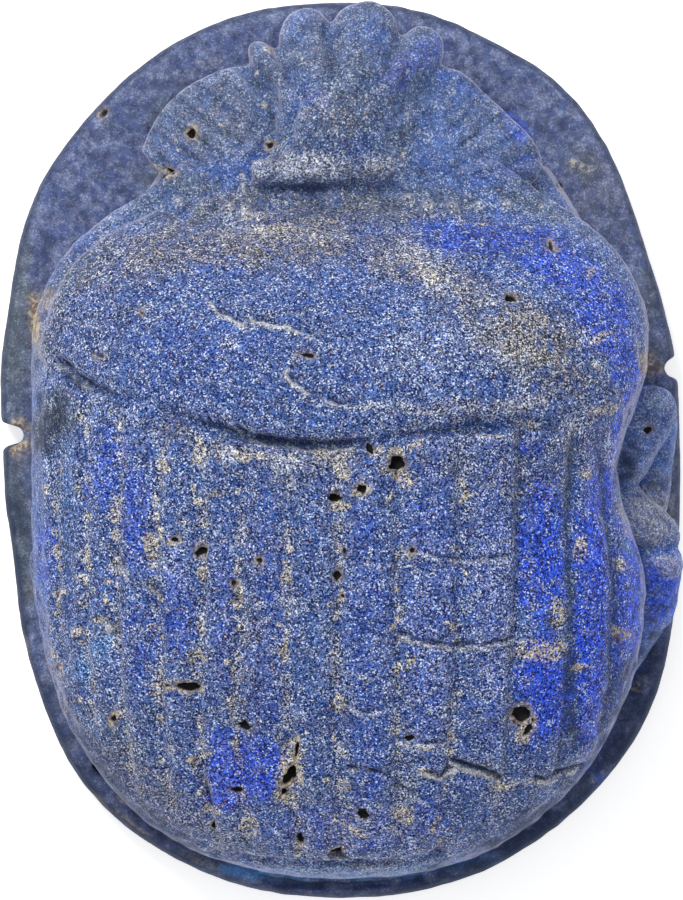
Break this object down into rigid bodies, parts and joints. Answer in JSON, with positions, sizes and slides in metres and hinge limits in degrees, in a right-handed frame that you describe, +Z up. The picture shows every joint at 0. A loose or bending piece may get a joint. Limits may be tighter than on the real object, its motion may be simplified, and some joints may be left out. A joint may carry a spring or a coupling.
{
  "type": "scarab amulet",
  "caption": "Small moulded beetle amulet on an oval plinth, with a ribbed back, a toothed head shield, folded legs and a lengthwise stringing hole.",
  "frame": {"origin": "centre of the plinth's flat underside", "axes": "+Y from tail to head, +Z up out of the beetle's back, +X to the beetle's right side as seen from above with the head away"},
  "size_m": [0.0228, 0.03, 0.0124],
  "materials": {
    "blue_frit": "matte"
  },
  "bodies": {
    "root": {"scarab": "blue_frit"}
  },
  "joints": []
}
